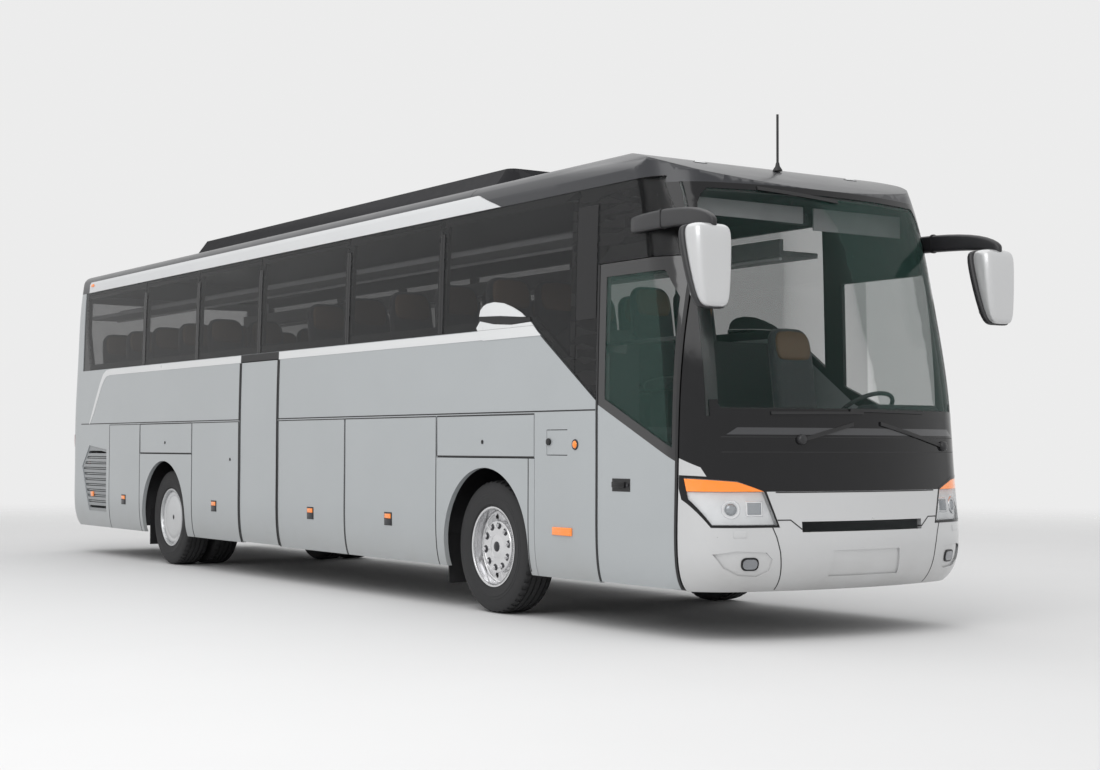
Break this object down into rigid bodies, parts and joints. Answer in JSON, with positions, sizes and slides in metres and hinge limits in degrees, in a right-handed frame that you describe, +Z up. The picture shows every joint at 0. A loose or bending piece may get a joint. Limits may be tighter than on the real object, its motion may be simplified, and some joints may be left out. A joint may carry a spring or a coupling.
{
  "type": "coach bus",
  "caption": "Full-size two-axle touring coach with glazed saloon, swing doors, lift-up luggage flaps, steered front wheels and twin rear wheels",
  "frame": {"origin": "on the road, under the middle of the whole coach's box", "axes": "+X forward along the length, +Y to the left across the width, +Z up"},
  "size_m": [12.7613, 3, 3.7201],
  "materials": {
    "body_paint": "grey blue paint, soft gloss",
    "silver_paint": "light silver metallic paint",
    "roof_paint": "dark metallic grey paint",
    "silver_trim": "bright silver paint",
    "black_gloss": "black gloss",
    "black_frame": "black satin",
    "tinted_glass": "dark grey tint",
    "front_glass": "light green tint",
    "red_lens": "clear red plastic",
    "lamp_glass": "clear lamp cover",
    "dark_grille": "grey slats",
    "floor_plastic": "dark floor covering",
    "dash_plastic": "soft grained plastic",
    "rack_plastic": "light grey plastic",
    "seat_fabric": "dark grey woven cloth",
    "chassis_steel": "black chassis paint",
    "engine_metal": "dull cast metal",
    "black_rubber": "black rubber",
    "tyre": "black tyre rubber",
    "polished_rim": "polished aluminium",
    "steel_rim": "silver painted steel"
  },
  "bodies": {
    "root": {"belt_panels": "body_paint", "lower_panels": "body_paint", "side_grilles": "dark_grille", "window_frames": "black_frame", "side_glazing": "tinted_glass", "rear_wall": "body_paint", "rear_window": "tinted_glass", "tail_lamps": "red_lens", "roof_panel": "roof_paint", "roof_front_cap": "roof_paint", "roof_rails": "silver_trim", "air_conditioner": "roof_paint", "front_bumper": "silver_paint", "front_mask": "black_gloss", "headlamps": "lamp_glass", "windscreen_frame": "black_frame", "windscreen": "front_glass", "pillar_covers": "black_gloss", "saloon_floor": "floor_plastic", "underframe": "chassis_steel", "front_beams": "chassis_steel", "cab_floor": "floor_plastic", "dashboard": "dash_plastic", "seats": "seat_fabric", "luggage_racks": "rack_plastic", "engine_block": "engine_metal", "mirrors": "silver_paint", "wipers": "black_rubber", "aerial": "black_rubber", "mud_flaps": "black_rubber", "front_axle": "chassis_steel", "rear_axle": "chassis_steel"},
    "knuckle_left": {"knuckle_left": "chassis_steel"},
    "knuckle_right": {"knuckle_right": "chassis_steel"},
    "wheel_front_left": {"front_tyre_left": "tyre", "front_rim_left": "polished_rim"},
    "wheel_front_right": {"front_tyre_right": "tyre", "front_rim_right": "polished_rim"},
    "wheel_rear_left": {"rear_tyres_left": "tyre", "rear_rims_left": "steel_rim"},
    "wheel_rear_right": {"rear_tyres_right": "tyre", "rear_rims_right": "steel_rim"},
    "front_door_arm": {"front_door_arm": "black_frame"},
    "front_door": {"front_door_leaf": "body_paint", "front_door_glass": "front_glass"},
    "mid_door_arm": {"mid_door_arm": "black_frame"},
    "mid_door": {"mid_door_leaf": "body_paint"},
    "engine_lid": {"engine_lid": "body_paint"},
    "filler_flap": {"filler_flap": "body_paint"},
    "luggage_flap_right_1": {"luggage_flap_right_1": "body_paint"},
    "luggage_flap_right_2": {"luggage_flap_right_2": "body_paint"},
    "luggage_flap_right_3": {"luggage_flap_right_3": "body_paint"},
    "luggage_flap_right_4": {"luggage_flap_right_4": "body_paint"},
    "luggage_flap_left_1": {"luggage_flap_left_1": "body_paint"},
    "luggage_flap_left_2": {"luggage_flap_left_2": "body_paint"},
    "luggage_flap_left_3": {"luggage_flap_left_3": "body_paint"},
    "arch_flap_right_front": {"arch_flap_right_front": "body_paint"},
    "arch_flap_right_rear": {"arch_flap_right_rear": "body_paint"},
    "arch_flap_left_front": {"arch_flap_left_front": "body_paint"},
    "arch_flap_left_rear": {"arch_flap_left_rear": "body_paint"}
  },
  "joints": [
    {"name": "steer_left", "type": "hinge", "parent": "root", "child": "knuckle_left", "pos_m": [3.433, 0.84, 0.515], "axis": [0, 0, 1], "range_deg": [-42, 42]},
    {"name": "steer_right", "type": "hinge", "parent": "root", "child": "knuckle_right", "pos_m": [3.433, -0.84, 0.515], "axis": [0, 0, 1], "range_deg": [-42, 42]},
    {"name": "roll_front_left", "type": "hinge", "parent": "knuckle_left", "child": "wheel_front_left", "pos_m": [3.433, 1.06, 0.515], "axis": [0, 1, 0], "continuous": true},
    {"name": "roll_front_right", "type": "hinge", "parent": "knuckle_right", "child": "wheel_front_right", "pos_m": [3.433, -1.06, 0.515], "axis": [0, 1, 0], "continuous": true},
    {"name": "roll_rear_left", "type": "hinge", "parent": "root", "child": "wheel_rear_left", "pos_m": [-3.237, 0.87, 0.515], "axis": [0, 1, 0], "continuous": true},
    {"name": "roll_rear_right", "type": "hinge", "parent": "root", "child": "wheel_rear_right", "pos_m": [-3.237, -0.87, 0.515], "axis": [0, 1, 0], "continuous": true},
    {"name": "front_door_swing", "type": "hinge", "parent": "root", "child": "front_door_arm", "pos_m": [5.76, -1.13, 1.4], "axis": [0, 0, -1], "range_deg": [-90, 0]},
    {"name": "front_door_leaf_turn", "type": "hinge", "parent": "front_door_arm", "child": "front_door", "pos_m": [5.06, -1.13, 1.4], "axis": [0, 0, -1], "range_deg": [0, 90]},
    {"name": "mid_door_swing", "type": "hinge", "parent": "root", "child": "mid_door_arm", "pos_m": [-0.42, -1.13, 1.2], "axis": [0, 0, -1], "range_deg": [-90, 0]},
    {"name": "mid_door_leaf_turn", "type": "hinge", "parent": "mid_door_arm", "child": "mid_door", "pos_m": [-1.08, -1.13, 1.2], "axis": [0, 0, -1], "range_deg": [0, 90]},
    {"name": "engine_lid_lift", "type": "hinge", "parent": "root", "child": "engine_lid", "pos_m": [-6.3683, 0, 1.897], "axis": [0, 1, 0], "range_deg": [0, 80]},
    {"name": "filler_flap_open", "type": "hinge", "parent": "root", "child": "filler_flap", "pos_m": [4.577, -1.275, 1.325], "axis": [0, 0, 1], "range_deg": [0, 100]},
    {"name": "luggage_flap_right_1_lift", "type": "hinge", "parent": "root", "child": "luggage_flap_right_1", "pos_m": [1.89, -1.275, 1.54], "axis": [-1, 0, 0], "range_deg": [0, 85]},
    {"name": "luggage_flap_right_2_lift", "type": "hinge", "parent": "root", "child": "luggage_flap_right_2", "pos_m": [0.38, -1.275, 1.54], "axis": [-1, 0, 0], "range_deg": [0, 85]},
    {"name": "luggage_flap_right_3_lift", "type": "hinge", "parent": "root", "child": "luggage_flap_right_3", "pos_m": [-1.815, -1.275, 1.54], "axis": [-1, 0, 0], "range_deg": [0, 85]},
    {"name": "luggage_flap_right_4_lift", "type": "hinge", "parent": "root", "child": "luggage_flap_right_4", "pos_m": [-4.425, -1.275, 1.54], "axis": [-1, 0, 0], "range_deg": [0, 85]},
    {"name": "luggage_flap_left_1_lift", "type": "hinge", "parent": "root", "child": "luggage_flap_left_1", "pos_m": [1.4175, 1.275, 1.54], "axis": [1, 0, 0], "range_deg": [0, 85]},
    {"name": "luggage_flap_left_2_lift", "type": "hinge", "parent": "root", "child": "luggage_flap_left_2", "pos_m": [-1.1475, 1.275, 1.54], "axis": [1, 0, 0], "range_deg": [0, 85]},
    {"name": "luggage_flap_left_3_lift", "type": "hinge", "parent": "root", "child": "luggage_flap_left_3", "pos_m": [-4.425, 1.275, 1.54], "axis": [1, 0, 0], "range_deg": [0, 85]},
    {"name": "arch_flap_right_front_lift", "type": "hinge", "parent": "root", "child": "arch_flap_right_front", "pos_m": [3.425, -1.275, 1.54], "axis": [-1, 0, 0], "range_deg": [0, 85]},
    {"name": "arch_flap_right_rear_lift", "type": "hinge", "parent": "root", "child": "arch_flap_right_rear", "pos_m": [-3.18, -1.275, 1.54], "axis": [-1, 0, 0], "range_deg": [0, 85]},
    {"name": "arch_flap_left_front_lift", "type": "hinge", "parent": "root", "child": "arch_flap_left_front", "pos_m": [3.425, 1.275, 1.54], "axis": [1, 0, 0], "range_deg": [0, 85]},
    {"name": "arch_flap_left_rear_lift", "type": "hinge", "parent": "root", "child": "arch_flap_left_rear", "pos_m": [-3.18, 1.275, 1.54], "axis": [1, 0, 0], "range_deg": [0, 85]}
  ],
  "couplings": [
    {"joint": "steer_right", "follows": "steer_left", "ratio": 1},
    {"joint": "front_door_leaf_turn", "follows": "front_door_swing", "ratio": -1},
    {"joint": "mid_door_leaf_turn", "follows": "mid_door_swing", "ratio": -1}
  ]
}
